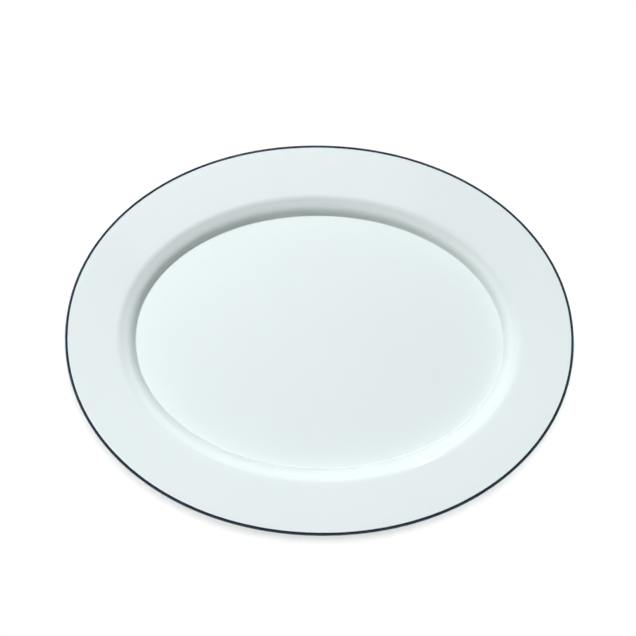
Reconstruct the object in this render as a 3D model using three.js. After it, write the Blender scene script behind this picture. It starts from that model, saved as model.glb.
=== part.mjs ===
// Oval serving platter in bone china, in millimetres.
// Z is up, X runs along the platter's length, and the origin is under the
// middle of the foot ring, on the surface the platter stands on.
//
// The clay body carries two areas of glaze and a fired-on line round its lip.
// Every piece is a sweep of one upright section round the same oval.

import * as THREE from "three";

// Overall sizes, over the fired-on line at the lip.
const LENGTH = 340;
const WIDTH = 264;
const OVAL_POWER = 2.04;

// Face of the clay body.
const RIM_WIDTH = 34.5;
const RIM_RISE = 6.5;
const WALL_RUN = 10;
const WELL_DEPTH = 12;

// The wall falls gently from the shoulder to a bend and steeply from there. The
// bend lies at these shares of the wall's run and of the well's depth.
const WALL_BEND_RUN_SHARE = 0.74;
const WALL_BEND_DROP_SHARE = 0.4;

// Thickness of the clay.
const FLOOR_THICKNESS = 4.2;
const WALL_THICKNESS = 3.4;
const LIP_THICKNESS = 3.2;

// Foot ring under the edge of the floor.
const FOOT_HEIGHT = 3;
const FOOT_INSET = 3;
const FOOT_EDGE_WIDTH = 3;
const FOOT_FLARE = 1.2;

// Fired layers and the clearance that keeps neighbouring layers apart.
const GLAZE_THICKNESS = 0.25;
const BAND_THICKNESS = 0.12;
const LAYER_CLEARANCE = 0.03;
const BARE_FOOT_EDGE = 0.9;

// Width of the fired-on line, measured from the lip's outermost edge.
const BAND_ON_FACE = 1.9;
const BAND_ON_BACK = 1.2;

// Roundings of the section, each measured from its corner along the surface,
// and the least share of a straight that stays between two of them.
const FLOOR_ROUNDING = 0.9;
const WALL_BEND_ROUNDING = 5;
const SHOULDER_ROUNDING = 2.2;
const UNDER_SHOULDER_ROUNDING = 6;
const FOOT_ROOT_ROUNDING = 1.6;
const FOOT_EDGE_ROUNDING = 0.5;
const STRAIGHT_LEFT = 0.05;

// Fineness of the sweep.
const OVAL_STEPS = 64;
const ROUNDING_STEPS = 3;
const LIP_STEPS = 5;

// ---------------------------------------------------------------- oval sweep

const COATING = LAYER_CLEARANCE + GLAZE_THICKNESS + LAYER_CLEARANCE + BAND_THICKNESS;
const BODY_RADIUS = LENGTH / 2 - COATING;
const BODY_HALF_WIDTH = WIDTH / 2 - COATING;
const SCALED_RADIUS = BODY_RADIUS - RIM_WIDTH - WALL_RUN - FLOOR_ROUNDING - FOOT_INSET;

function signedPower(value, power) {
  return Math.sign(value) * Math.abs(value) ** power;
}

// Point on the body's outline and the outward direction there.
function outline(angle) {
  const c = signedPower(Math.cos(angle), 2 / OVAL_POWER);
  const s = signedPower(Math.sin(angle), 2 / OVAL_POWER);
  const point = new THREE.Vector2(BODY_RADIUS * c, BODY_HALF_WIDTH * s);
  const outward = new THREE.Vector2(
    signedPower(c, OVAL_POWER - 1) / BODY_RADIUS,
    signedPower(s, OVAL_POWER - 1) / BODY_HALF_WIDTH,
  );
  return { point, outward: outward.normalize() };
}

// Place of a section radius on the oval. The rim and wall keep their width all
// round; inside the foot ring the oval shrinks evenly to the middle.
function placeOnOval(angle, radius) {
  const { point, outward } = outline(angle);
  const held = Math.max(radius, SCALED_RADIUS);
  const place = point.addScaledVector(outward, held - BODY_RADIUS);
  return place.multiplyScalar(radius / held);
}

// Turns a section of (radius, height) points round the oval. Sections run from
// the face outwards and round to the underside; a lathe wants the other order.
function sweep(section) {
  const profile = [...section].reverse();
  const geometry = new THREE.LatheGeometry(profile, OVAL_STEPS);
  const positions = geometry.getAttribute("position");
  for (let step = 0; step <= OVAL_STEPS; step += 1) {
    const angle = (2 * Math.PI * (step % OVAL_STEPS)) / OVAL_STEPS;
    profile.forEach(({ x: radius, y: height }, index) => {
      const place = placeOnOval(angle, radius);
      positions.setXYZ(step * profile.length + index, place.x, place.y, height);
    });
  }
  geometry.computeVertexNormals();
  return geometry;
}

// ------------------------------------------------------------------ sections

// Corner of a section, rounded off over the given length on both sides.
function corner(radius, height, rounding = 0, steps = ROUNDING_STEPS) {
  return { at: new THREE.Vector2(radius, height), rounding, steps };
}

// Length that a corner's rounding may take towards its neighbour. Two roundings
// share their straight where it is too short for both.
function roundingTowards(here, neighbour) {
  const straight = (1 - STRAIGHT_LEFT) * here.at.distanceTo(neighbour.at);
  const share = here.rounding / (here.rounding + neighbour.rounding);
  return Math.min(here.rounding, straight * share);
}

function roundedPath(corners) {
  const points = [];
  corners.forEach((here, index) => {
    const { at, rounding, steps } = here;
    if (rounding === 0) {
      points.push(at.clone());
      return;
    }
    const neighbours = [corners[index - 1], corners[index + 1]];
    const reach = Math.min(...neighbours.map((neighbour) => roundingTowards(here, neighbour)));
    const [before, after] = neighbours.map((neighbour) =>
      neighbour.at.clone().sub(at).setLength(reach).add(at));
    points.push(...new THREE.QuadraticBezierCurve(before, at, after).getPoints(steps));
  });
  return points;
}

// Same path moved out along its own normals. An end on the axis stays on it.
function offsetPath(points, distance) {
  return points.map((point, index) => {
    const before = points[Math.max(index - 1, 0)];
    const after = points[Math.min(index + 1, points.length - 1)];
    const into = point.clone().sub(before).normalize();
    const onward = after.clone().sub(point).normalize();
    const normals = [into, onward]
      .filter((direction) => direction.lengthSq() > 0)
      .map((direction) => new THREE.Vector2(-direction.y, direction.x));
    const normal = normals.reduce((sum, n) => sum.add(n), new THREE.Vector2()).normalize();
    const moved = point.clone().addScaledVector(normal, distance / normal.dot(normals[0]));
    if (point.x === 0) {
      moved.x = 0;
    }
    return moved;
  });
}

// Section of a layer lying on a path, between two distances from it. If an end
// of the path is on the axis, the section starts there.
function layerOn(points, inner, outer) {
  const outside = offsetPath(points, outer);
  const inside = offsetPath(points, inner).reverse();
  return points.at(-1).x === 0 ? [...inside, ...outside] : [...outside, ...inside];
}

// ---------------------------------------------------------------- clay shape

const recessHeight = FOOT_HEIGHT;
const floorHeight = recessHeight + FLOOR_THICKNESS;
const shoulderHeight = floorHeight + WELL_DEPTH;
const lipHeight = shoulderHeight + RIM_RISE;

const shoulderRadius = BODY_RADIUS - RIM_WIDTH;
const floorRadius = shoulderRadius - WALL_RUN;
const lipMiddle = new THREE.Vector2(BODY_RADIUS - LIP_THICKNESS / 2, lipHeight - LIP_THICKNESS / 2);

const rimSlope = Math.atan2(RIM_RISE, RIM_WIDTH - LIP_THICKNESS / 2);
const wallSlope = Math.atan2(WELL_DEPTH, WALL_RUN);
const footOuterRadius = floorRadius + FOOT_INSET;
const footInnerRadius = footOuterRadius - FOOT_EDGE_WIDTH;
const underShoulder = new THREE.Vector2(
  shoulderRadius + LIP_THICKNESS * Math.sin(rimSlope) + WALL_THICKNESS * Math.sin(wallSlope) / 2,
  shoulderHeight - WALL_THICKNESS * Math.cos(rimSlope),
);
const wallFootHeight = underShoulder.y
  - (underShoulder.x - footOuterRadius - FOOT_FLARE) * Math.tan(wallSlope);

// Rounded lip, from the top of the rim to its back.
function lipArc() {
  const start = Math.PI / 2 + rimSlope;
  const arc = new THREE.EllipseCurve(
    lipMiddle.x,
    lipMiddle.y,
    LIP_THICKNESS / 2,
    LIP_THICKNESS / 2,
    start,
    start - Math.PI,
    true,
  );
  return arc.getPoints(LIP_STEPS);
}

const wallBend = new THREE.Vector2(
  shoulderRadius - WALL_RUN * WALL_BEND_RUN_SHARE,
  shoulderHeight - WELL_DEPTH * WALL_BEND_DROP_SHARE,
);

const facePath = roundedPath([
  corner(0, floorHeight),
  corner(floorRadius, floorHeight, FLOOR_ROUNDING),
  corner(wallBend.x, wallBend.y, WALL_BEND_ROUNDING),
  corner(shoulderRadius, shoulderHeight, SHOULDER_ROUNDING),
  corner(...lipArc()[0].toArray()),
]).slice(0, -1);

const backPath = roundedPath([
  corner(...lipArc().at(-1).toArray()),
  corner(underShoulder.x, underShoulder.y, UNDER_SHOULDER_ROUNDING),
  corner(footOuterRadius + FOOT_FLARE, wallFootHeight, FOOT_ROOT_ROUNDING),
  corner(footOuterRadius, BARE_FOOT_EDGE),
]).slice(1);

const footPath = roundedPath([
  corner(footOuterRadius, BARE_FOOT_EDGE),
  corner(footOuterRadius, 0, FOOT_EDGE_ROUNDING, 2),
  corner(footInnerRadius, 0, FOOT_EDGE_ROUNDING, 2),
  corner(footInnerRadius, BARE_FOOT_EDGE),
]).slice(1, -1);

const recessPath = roundedPath([
  corner(footInnerRadius, BARE_FOOT_EDGE),
  corner(footInnerRadius - FOOT_FLARE, recessHeight, FOOT_ROOT_ROUNDING),
  corner(0, recessHeight),
]);

const coatedPath = [...facePath, ...lipArc(), ...backPath];

// Rest of a path from where it first goes beyond a radius.
function keepBeyond(points, radius) {
  const next = points.findIndex((point) => point.x > radius);
  const last = points[next - 1];
  const cut = last.clone().lerp(points[next], (radius - last.x) / (points[next].x - last.x));
  return [cut, ...points.slice(next)];
}

// Part of the glazed lip that the fired-on line covers.
function bandPath() {
  const glazed = offsetPath(coatedPath, LAYER_CLEARANCE + GLAZE_THICKNESS);
  const edge = BODY_RADIUS + LAYER_CLEARANCE + GLAZE_THICKNESS;
  const fromFace = keepBeyond(glazed, edge - BAND_ON_FACE).reverse();
  return keepBeyond(fromFace, edge - BAND_ON_BACK).reverse();
}

// -------------------------------------------------------------------- pieces

function piece(name, section, colour, roughness, metalness) {
  const material = new THREE.MeshStandardMaterial({ color: colour, roughness, metalness });
  const mesh = new THREE.Mesh(sweep(section), material);
  mesh.name = name;
  return mesh;
}

function closed(section) {
  return [...section, section[0].clone()];
}

const platter = new THREE.Group();
platter.name = "oval_platter";

const bodySection = [...coatedPath, ...footPath, ...recessPath];
platter.add(piece("china_body", bodySection, 0xeeece4, 0.75, 0));

const coatSection = layerOn(coatedPath, LAYER_CLEARANCE, LAYER_CLEARANCE + GLAZE_THICKNESS);
platter.add(piece("glaze_coat", coatSection, 0xe9f0ef, 0.08, 0));

const recessSection = layerOn(recessPath, LAYER_CLEARANCE, LAYER_CLEARANCE + GLAZE_THICKNESS);
platter.add(piece("glaze_foot_recess", recessSection, 0xe9f0ef, 0.08, 0));

const bandSection = closed(layerOn(bandPath(), LAYER_CLEARANCE, LAYER_CLEARANCE + BAND_THICKNESS));
platter.add(piece("edge_band", bandSection, 0x24313f, 0.15, 0.3));

export default platter;
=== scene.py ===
import math

import bpy
import numpy as np
from mathutils import Matrix, Vector


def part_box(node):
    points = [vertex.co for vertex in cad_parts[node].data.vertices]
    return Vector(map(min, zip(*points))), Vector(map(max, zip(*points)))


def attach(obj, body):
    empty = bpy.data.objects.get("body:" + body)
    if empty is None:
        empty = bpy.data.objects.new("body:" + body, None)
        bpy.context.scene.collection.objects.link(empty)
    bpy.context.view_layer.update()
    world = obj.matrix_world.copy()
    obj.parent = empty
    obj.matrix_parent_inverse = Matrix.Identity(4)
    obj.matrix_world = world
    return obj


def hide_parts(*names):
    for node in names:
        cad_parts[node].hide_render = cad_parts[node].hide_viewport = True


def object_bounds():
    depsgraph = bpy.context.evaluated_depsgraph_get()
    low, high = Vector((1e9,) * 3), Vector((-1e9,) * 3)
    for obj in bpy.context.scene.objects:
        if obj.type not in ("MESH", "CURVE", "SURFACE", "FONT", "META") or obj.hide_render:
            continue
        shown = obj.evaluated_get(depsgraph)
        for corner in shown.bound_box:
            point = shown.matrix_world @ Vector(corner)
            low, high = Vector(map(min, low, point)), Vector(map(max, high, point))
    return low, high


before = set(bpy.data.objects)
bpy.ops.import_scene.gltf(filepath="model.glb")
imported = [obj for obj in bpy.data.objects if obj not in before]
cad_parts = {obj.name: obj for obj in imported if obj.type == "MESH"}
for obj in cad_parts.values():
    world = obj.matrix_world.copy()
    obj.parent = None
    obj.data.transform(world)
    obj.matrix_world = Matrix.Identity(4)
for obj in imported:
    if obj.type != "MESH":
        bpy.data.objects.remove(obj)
cad_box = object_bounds()
MM = 0.001

# ------------------------------------------------------------------ section
# Sizes of the section in millimetres, as in the CAD source.
OVAL_POWER = 2.04
RIM_WIDTH = 34.5
RIM_RISE = 6.5
WALL_RUN = 10.0
WELL_DEPTH = 12.0
FLOOR_THICKNESS = 4.2
WALL_THICKNESS = 3.4
LIP_THICKNESS = 3.2
FOOT_HEIGHT = 3.0
FOOT_INSET = 3.0
FOOT_EDGE_WIDTH = 3.0
FOOT_FLARE = 1.2
GLAZE_THICKNESS = 0.25
BAND_THICKNESS = 0.12
LAYER_CLEARANCE = 0.03
BARE_FOOT_EDGE = 0.9
BAND_ON_FACE = 1.9
BAND_ON_BACK = 1.2

# The wall falls gently from the shoulder to a bend and steeply from there. The
# bend lies at these shares of the wall's run and of the well's depth.
WALL_BEND_RUN_SHARE = 0.74
WALL_BEND_DROP_SHARE = 0.4

# Roundings of the section, each measured from its corner along the surface,
# and the least share of a straight that stays between two of them.
FLOOR_ROUNDING = 0.9
WALL_BEND_ROUNDING = 5.0
SHOULDER_ROUNDING = 2.2
UNDER_SHOULDER_ROUNDING = 6.0
FOOT_ROOT_ROUNDING = 1.6
FOOT_EDGE_ROUNDING = 0.5
STRAIGHT_LEFT = 0.05

# Faint groove in the wall below the shoulder, too fine for the CAD.
GROOVE_REACH = 2.9
GROOVE_WIDTH = 1.1
GROOVE_DEPTH = 0.07
GROOVE_ROUNDING = 0.4

# Fineness of the sweep. Straight stretches are cut into steps no longer than
# this many millimetres, and edges sharper than this many degrees stay sharp.
OVAL_STEPS = 360
ROUNDING_STEPS = 12
GROOVE_STEPS = 4
FOOT_EDGE_STEPS = 6
LIP_STEPS = 24
STRAIGHT_STEP = 4.0
SHARP_DEGREES = 40

_, body_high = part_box("china_body")
BODY_RADIUS = body_high[0] / MM
BODY_HALF_WIDTH = body_high[1] / MM
SCALED_RADIUS = BODY_RADIUS - RIM_WIDTH - WALL_RUN - FLOOR_ROUNDING - FOOT_INSET


def outline(angles):
    """Points on the body's outline and the outward directions there."""
    c, s = np.cos(angles), np.sin(angles)
    c = np.sign(c) * np.abs(c) ** (2 / OVAL_POWER)
    s = np.sign(s) * np.abs(s) ** (2 / OVAL_POWER)
    points = np.stack([BODY_RADIUS * c, BODY_HALF_WIDTH * s], 1)
    outward = np.stack([
        np.sign(c) * np.abs(c) ** (OVAL_POWER - 1) / BODY_RADIUS,
        np.sign(s) * np.abs(s) ** (OVAL_POWER - 1) / BODY_HALF_WIDTH,
    ], 1)
    return points, outward / np.linalg.norm(outward, axis=1)[:, None]


def corner(radius, height, rounding=0.0, steps=ROUNDING_STEPS):
    """Corner of a section, rounded off over the given length on both sides."""
    return np.array([radius, height], float), rounding, steps


def rounded_path(corners):
    """Path through corners, each rounded over its own length on both sides.

    Two roundings on one straight share it if it is too short for both."""
    points = []
    for index, (at, rounding, steps) in enumerate(corners):
        if rounding == 0:
            points.append(at)
            continue
        sides = [corners[index - 1], corners[index + 1]]
        lengths = [np.linalg.norm(other - at) for other, _, _ in sides]
        reach = min([rounding] + [
            (1 - STRAIGHT_LEFT) * length * rounding / (rounding + other)
            for length, (_, other, _) in zip(lengths, sides)])
        before, after = [at + (other - at) * reach / length
                         for length, (other, _, _) in zip(lengths, sides)]
        for t in np.linspace(0, 1, steps + 1):
            points.append((1 - t) ** 2 * before + 2 * t * (1 - t) * at + t ** 2 * after)
    return points


def split_straights(points, longest=STRAIGHT_STEP):
    """Same path with its long straight stretches cut into shorter ones."""
    result = [points[0]]
    for start, end in zip(points, points[1:]):
        count = max(1, math.ceil(np.linalg.norm(end - start) / longest))
        result += [start + (end - start) * k / count for k in range(1, count + 1)]
    return result


def offset_path(points, distance):
    """Same path moved out along its own normals. An end on the axis stays there."""
    points = np.array(points)
    along = np.diff(points, axis=0)
    along /= np.linalg.norm(along, axis=1)[:, None]
    normals = np.stack([-along[:, 1], along[:, 0]], 1)
    first = np.vstack([normals[:1], normals])
    last = np.vstack([normals, normals[-1:]])
    mean = first + last
    mean /= np.linalg.norm(mean, axis=1)[:, None]
    moved = points + mean * (distance / np.sum(mean * first, axis=1))[:, None]
    moved[points[:, 0] == 0, 0] = 0
    return list(moved)


def layer_on(points, inner, outer):
    """Section of a layer lying on a path, between two distances from it."""
    outside = offset_path(points, outer)
    inside = offset_path(points, inner)[::-1]
    if points[-1][0] == 0:
        return inside + outside
    return outside + inside


def keep_beyond(points, radius):
    """Rest of a path from where it first goes beyond a radius."""
    after = next(i for i, p in enumerate(points) if p[0] > radius)
    start, end = points[after - 1], points[after]
    cut = start + (end - start) * (radius - start[0]) / (end[0] - start[0])
    return [cut] + list(points[after:])


# Corners of the section, named as in the CAD source.
floor_height = FOOT_HEIGHT + FLOOR_THICKNESS
shoulder_height = floor_height + WELL_DEPTH
lip_height = shoulder_height + RIM_RISE
shoulder_radius = BODY_RADIUS - RIM_WIDTH
floor_radius = shoulder_radius - WALL_RUN
rim_slope = math.atan2(RIM_RISE, RIM_WIDTH - LIP_THICKNESS / 2)
wall_slope = math.atan2(WELL_DEPTH, WALL_RUN)
foot_outer = floor_radius + FOOT_INSET
foot_inner = foot_outer - FOOT_EDGE_WIDTH
under_radius = (shoulder_radius + LIP_THICKNESS * math.sin(rim_slope)
                + WALL_THICKNESS * math.sin(wall_slope) / 2)
under_height = shoulder_height - WALL_THICKNESS * math.cos(rim_slope)
wall_foot_height = (under_height
                    - (under_radius - foot_outer - FOOT_FLARE) * math.tan(wall_slope))

lip_angles = np.linspace(math.pi / 2 + rim_slope, rim_slope - math.pi / 2, LIP_STEPS + 1)
lip_middle = np.array([BODY_RADIUS - LIP_THICKNESS / 2, lip_height - LIP_THICKNESS / 2])
lip_arc = [lip_middle + LIP_THICKNESS / 2 * np.array([math.cos(a), math.sin(a)])
           for a in lip_angles]

shoulder = np.array([shoulder_radius, shoulder_height])
wall_bend = shoulder - (WALL_RUN * WALL_BEND_RUN_SHARE, WELL_DEPTH * WALL_BEND_DROP_SHARE)
down_wall = wall_bend - shoulder
down_wall /= np.linalg.norm(down_wall)
into_wall = np.array([-down_wall[1], down_wall[0]])
groove_bottom = shoulder + down_wall * GROOVE_REACH + into_wall * GROOVE_DEPTH
groove_end = shoulder + down_wall * (GROOVE_REACH + GROOVE_WIDTH)
face_path = rounded_path([
    corner(0, floor_height),
    corner(floor_radius, floor_height, FLOOR_ROUNDING),
    corner(*wall_bend, WALL_BEND_ROUNDING),
    corner(*groove_end, GROOVE_ROUNDING, GROOVE_STEPS),
    corner(*groove_bottom, GROOVE_ROUNDING, GROOVE_STEPS),
    corner(*shoulder, SHOULDER_ROUNDING),
    corner(*lip_arc[0]),
])[:-1]
back_path = rounded_path([
    corner(*lip_arc[-1]),
    corner(under_radius, under_height, UNDER_SHOULDER_ROUNDING),
    corner(foot_outer + FOOT_FLARE, wall_foot_height, FOOT_ROOT_ROUNDING),
    corner(foot_outer, BARE_FOOT_EDGE),
])[1:]
foot_path = rounded_path([
    corner(foot_outer, BARE_FOOT_EDGE),
    corner(foot_outer, 0, FOOT_EDGE_ROUNDING, FOOT_EDGE_STEPS),
    corner(foot_inner, 0, FOOT_EDGE_ROUNDING, FOOT_EDGE_STEPS),
    corner(foot_inner, BARE_FOOT_EDGE),
])[1:-1]
recess_path = split_straights(rounded_path([
    corner(foot_inner, BARE_FOOT_EDGE),
    corner(foot_inner - FOOT_FLARE, FOOT_HEIGHT, FOOT_ROOT_ROUNDING),
    corner(0, FOOT_HEIGHT),
]))
coated_path = split_straights(face_path + lip_arc + back_path)
glazed_path = offset_path(coated_path, LAYER_CLEARANCE + GLAZE_THICKNESS)
glazed_edge = BODY_RADIUS + LAYER_CLEARANCE + GLAZE_THICKNESS
band_path = keep_beyond(glazed_path, glazed_edge - BAND_ON_FACE)[::-1]
band_path = keep_beyond(band_path, glazed_edge - BAND_ON_BACK)[::-1]


# -------------------------------------------------------------------- pieces
def sweep(name, section, closed):
    """Closed mesh of a section turned round the oval."""
    section = np.array(section)
    angles = np.linspace(0, 2 * math.pi, OVAL_STEPS, endpoint=False)
    points, outward = outline(angles)
    rings, verts, count = [], [], 0
    for radius, height in section:
        if radius == 0:
            rings.append([count])
            verts.append([[0, 0, height * MM]])
            count += 1
            continue
        held = max(radius, SCALED_RADIUS)
        place = (points + outward * (held - BODY_RADIUS)) * (radius / held)
        verts.append(np.column_stack([place, np.full(OVAL_STEPS, height)]) * MM)
        rings.append(list(range(count, count + OVAL_STEPS)))
        count += OVAL_STEPS
    pairs = list(zip(rings, rings[1:]))
    if closed:
        pairs.append((rings[-1], rings[0]))
    faces = []
    for upper, lower in pairs:
        for i in range(OVAL_STEPS):
            j = (i + 1) % OVAL_STEPS
            if len(upper) == 1:
                faces.append((upper[0], lower[i], lower[j]))
            elif len(lower) == 1:
                faces.append((upper[i], lower[0], upper[j]))
            else:
                faces.append((upper[i], lower[i], lower[j], upper[j]))
    mesh = bpy.data.meshes.new(name)
    mesh.from_pydata([tuple(v) for ring in verts for v in ring], [], faces)
    mesh.update()
    mesh.shade_smooth()
    mesh.set_sharp_from_angle(angle=math.radians(SHARP_DEGREES))
    piece = bpy.data.objects.new(name, mesh)
    bpy.context.scene.collection.objects.link(piece)
    return piece


# ----------------------------------------------------------------- materials
def material(name):
    """New node material, with its tree, its shader and the place on the object."""
    mat = bpy.data.materials.new(name)
    mat.use_nodes = True
    tree = mat.node_tree
    shader = tree.nodes["Principled BSDF"]
    where = tree.nodes.new("ShaderNodeTexCoord").outputs["Object"]
    return mat, tree, shader, where


def noise(tree, where, scale, detail=3.0, roughness=0.5, distortion=0.0):
    node = tree.nodes.new("ShaderNodeTexNoise")
    node.inputs["Scale"].default_value = scale
    node.inputs["Detail"].default_value = detail
    node.inputs["Roughness"].default_value = roughness
    node.inputs["Distortion"].default_value = distortion
    tree.links.new(where, node.inputs["Vector"])
    return node.outputs["Fac"]


def ramp(tree, value, stops):
    node = tree.nodes.new("ShaderNodeValToRGB")
    elements = node.color_ramp.elements
    while len(elements) < len(stops):
        elements.new(0.5)
    for element, (position, colour) in zip(elements, stops):
        element.position = position
        element.color = (*colour, 1)
    tree.links.new(value, node.inputs["Fac"])
    return node.outputs["Color"]


def span(tree, value, low, high, to_low, to_high):
    node = tree.nodes.new("ShaderNodeMapRange")
    for socket, number in zip(("From Min", "From Max", "To Min", "To Max"),
                              (low, high, to_low, to_high)):
        node.inputs[socket].default_value = number
    tree.links.new(value, node.inputs["Value"])
    return node.outputs["Result"]


def bump(tree, height, strength, distance, onto=None):
    node = tree.nodes.new("ShaderNodeBump")
    node.inputs["Strength"].default_value = strength
    node.inputs["Distance"].default_value = distance
    tree.links.new(height, node.inputs["Height"])
    if onto is not None:
        tree.links.new(onto, node.inputs["Normal"])
    return node.outputs["Normal"]


def glazed_china(name, pale, deep):
    """White china under a clear, slightly uneven glaze."""
    mat, tree, shader, where = material(name)
    cloud = noise(tree, where, 9, 4, 0.55)
    colour = ramp(tree, cloud, [(0.3, deep), (0.7, pale)])
    tree.links.new(colour, shader.inputs["Base Color"])
    smear = noise(tree, where, 55, 3, 0.6, 0.6)
    tree.links.new(span(tree, smear, 0.3, 0.7, 0.07, 0.15), shader.inputs["Roughness"])
    shader.inputs["IOR"].default_value = 1.52
    shader.inputs["Coat Weight"].default_value = 0.35
    shader.inputs["Coat Roughness"].default_value = 0.03
    shader.inputs["Subsurface Weight"].default_value = 0.08
    shader.inputs["Subsurface Radius"].default_value = (0.9, 1.0, 1.0)
    shader.inputs["Subsurface Scale"].default_value = 0.0012
    flow = bump(tree, noise(tree, where, 22, 2, 0.4), 0.10, 0.002)
    peel = bump(tree, noise(tree, where, 700, 2, 0.5), 0.04, 0.0002, flow)
    tree.links.new(peel, shader.inputs["Normal"])
    return mat


def bare_clay(name):
    """Ground, unglazed standing edge of the foot ring."""
    mat, tree, shader, where = material(name)
    grain = noise(tree, where, 1800, 4, 0.65)
    scuff = noise(tree, where, 120, 4, 0.7, 0.8)
    mix = tree.nodes.new("ShaderNodeMix")
    mix.data_type = "RGBA"
    mix.blend_type = "MULTIPLY"
    mix.inputs["Factor"].default_value = 0.55
    tree.links.new(ramp(tree, scuff, [(0.35, (0.66, 0.64, 0.59)), (0.6, (0.80, 0.78, 0.72))]),
                   mix.inputs["A"])
    tree.links.new(ramp(tree, grain, [(0.3, (0.72, 0.70, 0.66)), (0.7, (1.0, 1.0, 1.0))]),
                   mix.inputs["B"])
    tree.links.new(mix.outputs["Result"], shader.inputs["Base Color"])
    tree.links.new(span(tree, grain, 0.3, 0.7, 0.65, 0.85), shader.inputs["Roughness"])
    tree.links.new(bump(tree, grain, 0.35, 0.0002), shader.inputs["Normal"])
    return mat


def fired_line(name):
    """Dark slate-blue line fired on over the glaze, glossy and slightly uneven."""
    mat, tree, shader, where = material(name)
    load = noise(tree, where, 60, 4, 0.6)
    colour = ramp(tree, load, [(0.3, (0.006, 0.015, 0.032)), (0.7, (0.012, 0.028, 0.056))])
    tree.links.new(colour, shader.inputs["Base Color"])
    brush = noise(tree, where, 400, 3, 0.6)
    tree.links.new(span(tree, brush, 0.3, 0.7, 0.12, 0.24), shader.inputs["Roughness"])
    shader.inputs["IOR"].default_value = 1.45
    shader.inputs["Specular IOR Level"].default_value = 0.35
    shader.inputs["Coat Weight"].default_value = 0.1
    shader.inputs["Coat Roughness"].default_value = 0.06
    tree.links.new(bump(tree, brush, 0.08, 0.0002), shader.inputs["Normal"])
    return mat


pieces = [
    ("clay_body", coated_path + foot_path + recess_path, False, bare_clay("bare_clay"),
     "china_body", "clay_body"),
    ("face_glaze",
     layer_on(coated_path, LAYER_CLEARANCE, LAYER_CLEARANCE + GLAZE_THICKNESS), False,
     glazed_china("glazed_face", (0.805, 0.880, 0.873), (0.793, 0.868, 0.860)),
     "glaze_coat", "glaze"),
    ("foot_recess_glaze",
     layer_on(recess_path, LAYER_CLEARANCE, LAYER_CLEARANCE + GLAZE_THICKNESS), False,
     glazed_china("glazed_recess", (0.80, 0.872, 0.865), (0.785, 0.855, 0.848)),
     "glaze_foot_recess", "glaze"),
    ("lip_line",
     layer_on(band_path, LAYER_CLEARANCE, LAYER_CLEARANCE + BAND_THICKNESS), True,
     fired_line("fired_line"), "edge_band", "edge_line"),
]
made = []
for name, section, closed, mat, node, slot in pieces:
    piece = sweep(name, section, closed)
    made.append(piece)
    piece.data.materials.append(mat)
    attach(piece, "root")
    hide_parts(node)

# --------------------------------------------------------------------- stage
# Soft boxes: azimuth, elevation, distance, size, level, colour.
KEY = (209, 60, 2.0, 0.10, 0.62, (0.99, 1.0, 1.05))
TOP = (230, 64, 1.45, 0.40, 0.46, (0.985, 1.0, 0.965))
GLINT = (195, 42, 2.0, 0.10, 0.03, (1.0, 1.0, 1.0))

# Far lights: azimuth, elevation, spread, level, colour.
PANEL = (27, 76.6, 22, 0.022, (1.0, 0.75, 0.8))
FLOOR_WASH = (0, 90, 40, 0.97, (1.0, 1.0, 1.0))
FLOOR_SHADE = (180, 80, 70, 0.03, (1.0, 1.0, 1.0))

SKY_LEVEL = 0.08
FLOOR_HALF = 6.0
FLOOR_GAP = 0.0002
BACKDROP_RADIUS = 5.5
BACKDROP_HEIGHT = 3.5
BACKDROP_STEPS = 96
BACKDROP_LEVEL = 0.85

floor_mesh = bpy.data.meshes.new("floor")
floor_mesh.from_pydata(
    [(-FLOOR_HALF, -FLOOR_HALF, 0), (FLOOR_HALF, -FLOOR_HALF, 0),
     (FLOOR_HALF, FLOOR_HALF, 0), (-FLOOR_HALF, FLOOR_HALF, 0)], [], [(0, 1, 2, 3)])
floor = bpy.data.objects.new("floor", floor_mesh)
floor.location.z = cad_box[0][2] - FLOOR_GAP
bpy.context.scene.collection.objects.link(floor)
floor_mat, floor_tree, floor_shader, floor_where = material("floor_white")
floor_tint = ramp(floor_tree, noise(floor_tree, floor_where, 3, 3),
                  [(0, (0.93, 0.93, 0.93)), (1, (0.96, 0.96, 0.96))])
floor_tree.links.new(floor_tint, floor_shader.inputs["Base Color"])
floor_shader.inputs["Roughness"].default_value = 0.9
floor_shader.inputs["Specular IOR Level"].default_value = 0.1
floor_mesh.materials.append(floor_mat)


def backdrop_ring(name):
    """Pale wall round the floor, seen and reflected but casting no light."""
    steps = BACKDROP_STEPS
    around = [2 * math.pi * i / steps for i in range(steps)]
    verts = [(BACKDROP_RADIUS * math.cos(a), BACKDROP_RADIUS * math.sin(a), z)
             for z in (0, BACKDROP_HEIGHT) for a in around]
    faces = [(i, (i + 1) % steps, steps + (i + 1) % steps, steps + i) for i in range(steps)]
    mesh = bpy.data.meshes.new(name)
    mesh.from_pydata(verts, [], faces)
    ring = bpy.data.objects.new(name, mesh)
    bpy.context.scene.collection.objects.link(ring)
    ring.visible_diffuse = False
    ring.visible_shadow = False
    return ring


backdrop = backdrop_ring("backdrop")
backdrop_mat, _, backdrop_shader, _ = material("backdrop_white")
backdrop_shader.inputs["Base Color"].default_value = (0.9, 0.9, 0.9, 1)
backdrop_shader.inputs["Emission Color"].default_value = (1, 1, 1, 1)
backdrop_shader.inputs["Emission Strength"].default_value = BACKDROP_LEVEL
backdrop.data.materials.append(backdrop_mat)

world = bpy.data.worlds.new("studio")
world.use_nodes = True
world.node_tree.nodes["Background"].inputs["Color"].default_value = (1, 1, 1, 1)
world.node_tree.nodes["Background"].inputs["Strength"].default_value = SKY_LEVEL
bpy.context.scene.world = world

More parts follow.
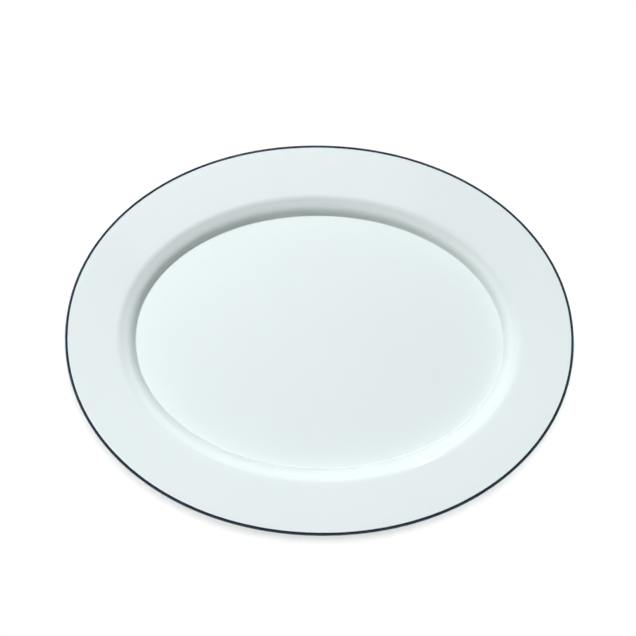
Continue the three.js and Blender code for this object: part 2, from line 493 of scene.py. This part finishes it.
# Lamps for the platter alone and for the floor alone. An empty collection of
# blockers lets a lamp through the platter, so that it casts no shadow.
platter_lit = bpy.data.collections.new("platter_lit")
floor_lit = bpy.data.collections.new("floor_lit")
no_blockers = bpy.data.collections.new("no_blockers")
for piece in made:
    platter_lit.objects.link(piece)
floor_lit.objects.link(floor)


def towards(azimuth, elevation):
    """Direction of a lamp; azimuth 0 is the camera's side and 90 the right."""
    turn, lift = math.radians(azimuth), math.radians(elevation)
    return Vector((math.sin(turn) * math.cos(lift), -math.cos(turn) * math.cos(lift),
                   math.sin(lift)))


def place_lamp(name, data, direction, distance, receivers, blockers=None):
    """Lamp that points at the middle of the platter and lights only its receivers."""
    lamp = bpy.data.objects.new(name, data)
    lamp.location = direction * distance
    lamp.rotation_euler = direction.to_track_quat("Z", "Y").to_euler()
    lamp.visible_camera = False
    bpy.context.scene.collection.objects.link(lamp)
    lamp.light_linking.receiver_collection = receivers
    if blockers is not None:
        lamp.light_linking.blocker_collection = blockers
    return lamp


def far_light(name, azimuth, elevation, spread, level, colour, receivers, blockers=None):
    """Soft light from far off. The level is the brightness of a white card facing it."""
    data = bpy.data.lights.new(name, "SUN")
    data.angle = math.radians(spread)
    data.energy = level * math.pi
    data.color = colour
    return place_lamp(name, data, towards(azimuth, elevation), 2, receivers, blockers)


def soft_box(name, azimuth, elevation, distance, size, level, colour, receivers):
    """Round soft box close by. The level is the brightness of a white card at the
    middle of the platter that faces it."""
    data = bpy.data.lights.new(name, "AREA")
    data.shape = "DISK"
    data.size = size
    data.energy = level * (math.pi * distance) ** 2
    data.color = colour
    return place_lamp(name, data, towards(azimuth, elevation), distance, receivers)


soft_box("key", *KEY, platter_lit).visible_glossy = False
soft_box("top", *TOP, platter_lit).visible_glossy = False
soft_box("glint", *GLINT, platter_lit)
far_light("panel", *PANEL, platter_lit).visible_diffuse = False
far_light("floor_wash", *FLOOR_WASH, floor_lit, no_blockers)
far_light("floor_shade", *FLOOR_SHADE, floor_lit)

bpy.context.scene.view_settings.view_transform = "Standard"
bpy.context.scene.view_settings.look = "None"

# -------------------------------------------------------------------- camera
ELEVATION = 80.2
DISTANCE = 0.95
ROLL = 1.3
LENS = 79.25
SENSOR_WIDTH = 36
AIM = Vector((-0.0013, 0.0143, 0.012))
lift = math.radians(ELEVATION)
back = Vector((0, -math.cos(lift), math.sin(lift)))
camera_data = bpy.data.cameras.new("camera")
camera_data.lens = LENS
camera_data.sensor_width = SENSOR_WIDTH
camera = bpy.data.objects.new("camera", camera_data)
turned = back.to_track_quat("Z", "Y").to_matrix().to_4x4()
turned = turned @ Matrix.Rotation(math.radians(ROLL), 4, "Z")
camera.matrix_world = Matrix.Translation(AIM + back * DISTANCE) @ turned
bpy.context.scene.collection.objects.link(camera)
bpy.context.scene.camera = camera
